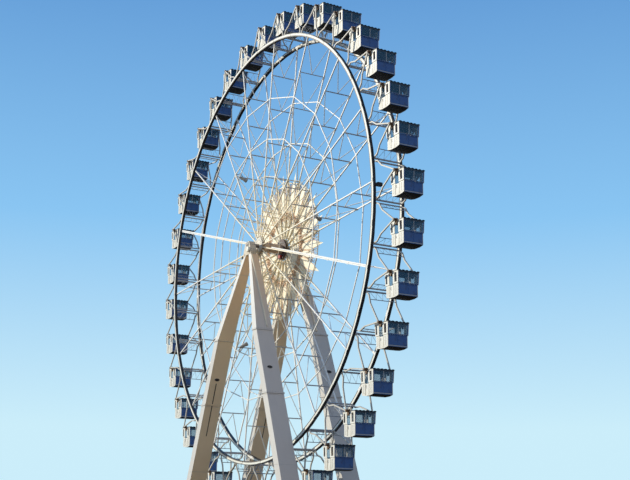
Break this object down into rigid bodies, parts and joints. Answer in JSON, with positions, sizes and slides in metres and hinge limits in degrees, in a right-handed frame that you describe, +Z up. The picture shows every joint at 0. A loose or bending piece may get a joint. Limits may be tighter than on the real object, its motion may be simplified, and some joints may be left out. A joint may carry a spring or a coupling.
{
  "type": "ferris wheel, 1:2 scale model",
  "caption": "Open-frame ferris wheel on two leaning pairs of box legs, with closed cabins that stay level on pivots as the wheel turns.",
  "frame": {"origin": "on the ground under the middle of the axle", "axes": "+X to the right along the wheel's plane seen from the front, +Y along the axle to the back, +Z up"},
  "size_m": [23.9594, 4.21, 24.9097],
  "materials": {
    "leg_paint": "satin",
    "head_paint": "satin",
    "axle_steel": "satin",
    "drum_paint": "satin",
    "star_paint": "satin",
    "wheel_paint": "satin",
    "cabin_paint": "satin"
  },
  "bodies": {
    "frame": {"front_left_leg": "leg_paint", "front_right_leg": "leg_paint", "back_left_leg": "leg_paint", "back_right_leg": "leg_paint", "front_head": "head_paint", "back_head": "head_paint", "axle": "axle_steel"},
    "wheel": {"hub_drum": "drum_paint", "star_panel": "star_paint", "rim_section_1": "wheel_paint", "rim_section_2": "wheel_paint", "rim_section_3": "wheel_paint", "rim_section_4": "wheel_paint", "rim_section_5": "wheel_paint", "rim_section_6": "wheel_paint", "spoke_group_1": "wheel_paint", "spoke_group_2": "wheel_paint", "spoke_group_3": "wheel_paint", "spoke_group_4": "wheel_paint", "spoke_group_5": "wheel_paint", "spoke_group_6": "wheel_paint"},
    "cabin_01": {"cabin_01": "cabin_paint"},
    "cabin_02": {"cabin_02": "cabin_paint"},
    "cabin_03": {"cabin_03": "cabin_paint"},
    "cabin_04": {"cabin_04": "cabin_paint"},
    "cabin_05": {"cabin_05": "cabin_paint"},
    "cabin_06": {"cabin_06": "cabin_paint"},
    "cabin_07": {"cabin_07": "cabin_paint"},
    "cabin_08": {"cabin_08": "cabin_paint"},
    "cabin_09": {"cabin_09": "cabin_paint"},
    "cabin_10": {"cabin_10": "cabin_paint"},
    "cabin_11": {"cabin_11": "cabin_paint"},
    "cabin_12": {"cabin_12": "cabin_paint"},
    "cabin_13": {"cabin_13": "cabin_paint"},
    "cabin_14": {"cabin_14": "cabin_paint"},
    "cabin_15": {"cabin_15": "cabin_paint"},
    "cabin_16": {"cabin_16": "cabin_paint"},
    "cabin_17": {"cabin_17": "cabin_paint"},
    "cabin_18": {"cabin_18": "cabin_paint"},
    "cabin_19": {"cabin_19": "cabin_paint"},
    "cabin_20": {"cabin_20": "cabin_paint"},
    "cabin_21": {"cabin_21": "cabin_paint"},
    "cabin_22": {"cabin_22": "cabin_paint"},
    "cabin_23": {"cabin_23": "cabin_paint"},
    "cabin_24": {"cabin_24": "cabin_paint"},
    "cabin_25": {"cabin_25": "cabin_paint"},
    "cabin_26": {"cabin_26": "cabin_paint"},
    "cabin_27": {"cabin_27": "cabin_paint"},
    "cabin_28": {"cabin_28": "cabin_paint"},
    "cabin_29": {"cabin_29": "cabin_paint"},
    "cabin_30": {"cabin_30": "cabin_paint"},
    "cabin_31": {"cabin_31": "cabin_paint"},
    "cabin_32": {"cabin_32": "cabin_paint"},
    "cabin_33": {"cabin_33": "cabin_paint"},
    "cabin_34": {"cabin_34": "cabin_paint"},
    "cabin_35": {"cabin_35": "cabin_paint"},
    "cabin_36": {"cabin_36": "cabin_paint"}
  },
  "joints": [
    {"name": "wheel_spin", "type": "hinge", "parent": "frame", "child": "wheel", "pos_m": [0, 0, 13.35], "axis": [0, 1, 0], "continuous": true},
    {"name": "cabin_01_pivot", "type": "hinge", "parent": "wheel", "child": "cabin_01", "pos_m": [1.32408, 0, 24.79365], "axis": [0, 1, 0], "continuous": true},
    {"name": "cabin_02_pivot", "type": "hinge", "parent": "wheel", "child": "cabin_02", "pos_m": [3.29113, 0, 24.38988], "axis": [0, 1, 0], "continuous": true},
    {"name": "cabin_03_pivot", "type": "hinge", "parent": "wheel", "child": "cabin_03", "pos_m": [5.15818, 0, 23.65066], "axis": [0, 1, 0], "continuous": true},
    {"name": "cabin_04_pivot", "type": "hinge", "parent": "wheel", "child": "cabin_04", "pos_m": [6.86851, 0, 22.59846], "axis": [0, 1, 0], "continuous": true},
    {"name": "cabin_05_pivot", "type": "hinge", "parent": "wheel", "child": "cabin_05", "pos_m": [8.37014, 0, 21.26525], "axis": [0, 1, 0], "continuous": true},
    {"name": "cabin_06_pivot", "type": "hinge", "parent": "wheel", "child": "cabin_06", "pos_m": [9.61745, 0, 19.69154], "axis": [0, 1, 0], "continuous": true},
    {"name": "cabin_07_pivot", "type": "hinge", "parent": "wheel", "child": "cabin_07", "pos_m": [10.57253, 0, 17.92514], "axis": [0, 1, 0], "continuous": true},
    {"name": "cabin_08_pivot", "type": "hinge", "parent": "wheel", "child": "cabin_08", "pos_m": [11.20638, 0, 16.01974], "axis": [0, 1, 0], "continuous": true},
    {"name": "cabin_09_pivot", "type": "hinge", "parent": "wheel", "child": "cabin_09", "pos_m": [11.49972, 0, 14.03321], "axis": [0, 1, 0], "continuous": true},
    {"name": "cabin_10_pivot", "type": "hinge", "parent": "wheel", "child": "cabin_10", "pos_m": [11.44365, 0, 12.02592], "axis": [0, 1, 0], "continuous": true},
    {"name": "cabin_11_pivot", "type": "hinge", "parent": "wheel", "child": "cabin_11", "pos_m": [11.03988, 0, 10.05887], "axis": [0, 1, 0], "continuous": true},
    {"name": "cabin_12_pivot", "type": "hinge", "parent": "wheel", "child": "cabin_12", "pos_m": [10.30066, 0, 8.19182], "axis": [0, 1, 0], "continuous": true},
    {"name": "cabin_13_pivot", "type": "hinge", "parent": "wheel", "child": "cabin_13", "pos_m": [9.24846, 0, 6.48149], "axis": [0, 1, 0], "continuous": true},
    {"name": "cabin_14_pivot", "type": "hinge", "parent": "wheel", "child": "cabin_14", "pos_m": [7.91525, 0, 4.97986], "axis": [0, 1, 0], "continuous": true},
    {"name": "cabin_15_pivot", "type": "hinge", "parent": "wheel", "child": "cabin_15", "pos_m": [6.34154, 0, 3.73255], "axis": [0, 1, 0], "continuous": true},
    {"name": "cabin_16_pivot", "type": "hinge", "parent": "wheel", "child": "cabin_16", "pos_m": [4.57514, 0, 2.77747], "axis": [0, 1, 0], "continuous": true},
    {"name": "cabin_17_pivot", "type": "hinge", "parent": "wheel", "child": "cabin_17", "pos_m": [2.66974, 0, 2.14362], "axis": [0, 1, 0], "continuous": true},
    {"name": "cabin_18_pivot", "type": "hinge", "parent": "wheel", "child": "cabin_18", "pos_m": [0.68321, 0, 1.85028], "axis": [0, 1, 0], "continuous": true},
    {"name": "cabin_19_pivot", "type": "hinge", "parent": "wheel", "child": "cabin_19", "pos_m": [-1.32408, 0, 1.90635], "axis": [0, 1, 0], "continuous": true},
    {"name": "cabin_20_pivot", "type": "hinge", "parent": "wheel", "child": "cabin_20", "pos_m": [-3.29113, 0, 2.31012], "axis": [0, 1, 0], "continuous": true},
    {"name": "cabin_21_pivot", "type": "hinge", "parent": "wheel", "child": "cabin_21", "pos_m": [-5.15818, 0, 3.04934], "axis": [0, 1, 0], "continuous": true},
    {"name": "cabin_22_pivot", "type": "hinge", "parent": "wheel", "child": "cabin_22", "pos_m": [-6.86851, 0, 4.10154], "axis": [0, 1, 0], "continuous": true},
    {"name": "cabin_23_pivot", "type": "hinge", "parent": "wheel", "child": "cabin_23", "pos_m": [-8.37014, 0, 5.43475], "axis": [0, 1, 0], "continuous": true},
    {"name": "cabin_24_pivot", "type": "hinge", "parent": "wheel", "child": "cabin_24", "pos_m": [-9.61745, 0, 7.00846], "axis": [0, 1, 0], "continuous": true},
    {"name": "cabin_25_pivot", "type": "hinge", "parent": "wheel", "child": "cabin_25", "pos_m": [-10.57253, 0, 8.77486], "axis": [0, 1, 0], "continuous": true},
    {"name": "cabin_26_pivot", "type": "hinge", "parent": "wheel", "child": "cabin_26", "pos_m": [-11.20638, 0, 10.68026], "axis": [0, 1, 0], "continuous": true},
    {"name": "cabin_27_pivot", "type": "hinge", "parent": "wheel", "child": "cabin_27", "pos_m": [-11.49972, 0, 12.66679], "axis": [0, 1, 0], "continuous": true},
    {"name": "cabin_28_pivot", "type": "hinge", "parent": "wheel", "child": "cabin_28", "pos_m": [-11.44365, 0, 14.67408], "axis": [0, 1, 0], "continuous": true},
    {"name": "cabin_29_pivot", "type": "hinge", "parent": "wheel", "child": "cabin_29", "pos_m": [-11.03988, 0, 16.64113], "axis": [0, 1, 0], "continuous": true},
    {"name": "cabin_30_pivot", "type": "hinge", "parent": "wheel", "child": "cabin_30", "pos_m": [-10.30066, 0, 18.50819], "axis": [0, 1, 0], "continuous": true},
    {"name": "cabin_31_pivot", "type": "hinge", "parent": "wheel", "child": "cabin_31", "pos_m": [-9.24846, 0, 20.21851], "axis": [0, 1, 0], "continuous": true},
    {"name": "cabin_32_pivot", "type": "hinge", "parent": "wheel", "child": "cabin_32", "pos_m": [-7.91525, 0, 21.72014], "axis": [0, 1, 0], "continuous": true},
    {"name": "cabin_33_pivot", "type": "hinge", "parent": "wheel", "child": "cabin_33", "pos_m": [-6.34154, 0, 22.96745], "axis": [0, 1, 0], "continuous": true},
    {"name": "cabin_34_pivot", "type": "hinge", "parent": "wheel", "child": "cabin_34", "pos_m": [-4.57514, 0, 23.92253], "axis": [0, 1, 0], "continuous": true},
    {"name": "cabin_35_pivot", "type": "hinge", "parent": "wheel", "child": "cabin_35", "pos_m": [-2.66974, 0, 24.55638], "axis": [0, 1, 0], "continuous": true},
    {"name": "cabin_36_pivot", "type": "hinge", "parent": "wheel", "child": "cabin_36", "pos_m": [-0.68321, 0, 24.84972], "axis": [0, 1, 0], "continuous": true}
  ],
  "couplings": [
    {"joint": "cabin_01_pivot", "follows": "wheel_spin", "ratio": -1},
    {"joint": "cabin_02_pivot", "follows": "wheel_spin", "ratio": -1},
    {"joint": "cabin_03_pivot", "follows": "wheel_spin", "ratio": -1},
    {"joint": "cabin_04_pivot", "follows": "wheel_spin", "ratio": -1},
    {"joint": "cabin_05_pivot", "follows": "wheel_spin", "ratio": -1},
    {"joint": "cabin_06_pivot", "follows": "wheel_spin", "ratio": -1},
    {"joint": "cabin_07_pivot", "follows": "wheel_spin", "ratio": -1},
    {"joint": "cabin_08_pivot", "follows": "wheel_spin", "ratio": -1},
    {"joint": "cabin_09_pivot", "follows": "wheel_spin", "ratio": -1},
    {"joint": "cabin_10_pivot", "follows": "wheel_spin", "ratio": -1},
    {"joint": "cabin_11_pivot", "follows": "wheel_spin", "ratio": -1},
    {"joint": "cabin_12_pivot", "follows": "wheel_spin", "ratio": -1},
    {"joint": "cabin_13_pivot", "follows": "wheel_spin", "ratio": -1},
    {"joint": "cabin_14_pivot", "follows": "wheel_spin", "ratio": -1},
    {"joint": "cabin_15_pivot", "follows": "wheel_spin", "ratio": -1},
    {"joint": "cabin_16_pivot", "follows": "wheel_spin", "ratio": -1},
    {"joint": "cabin_17_pivot", "follows": "wheel_spin", "ratio": -1},
    {"joint": "cabin_18_pivot", "follows": "wheel_spin", "ratio": -1},
    {"joint": "cabin_19_pivot", "follows": "wheel_spin", "ratio": -1},
    {"joint": "cabin_20_pivot", "follows": "wheel_spin", "ratio": -1},
    {"joint": "cabin_21_pivot", "follows": "wheel_spin", "ratio": -1},
    {"joint": "cabin_22_pivot", "follows": "wheel_spin", "ratio": -1},
    {"joint": "cabin_23_pivot", "follows": "wheel_spin", "ratio": -1},
    {"joint": "cabin_24_pivot", "follows": "wheel_spin", "ratio": -1},
    {"joint": "cabin_25_pivot", "follows": "wheel_spin", "ratio": -1},
    {"joint": "cabin_26_pivot", "follows": "wheel_spin", "ratio": -1},
    {"joint": "cabin_27_pivot", "follows": "wheel_spin", "ratio": -1},
    {"joint": "cabin_28_pivot", "follows": "wheel_spin", "ratio": -1},
    {"joint": "cabin_29_pivot", "follows": "wheel_spin", "ratio": -1},
    {"joint": "cabin_30_pivot", "follows": "wheel_spin", "ratio": -1},
    {"joint": "cabin_31_pivot", "follows": "wheel_spin", "ratio": -1},
    {"joint": "cabin_32_pivot", "follows": "wheel_spin", "ratio": -1},
    {"joint": "cabin_33_pivot", "follows": "wheel_spin", "ratio": -1},
    {"joint": "cabin_34_pivot", "follows": "wheel_spin", "ratio": -1},
    {"joint": "cabin_35_pivot", "follows": "wheel_spin", "ratio": -1},
    {"joint": "cabin_36_pivot", "follows": "wheel_spin", "ratio": -1}
  ]
}
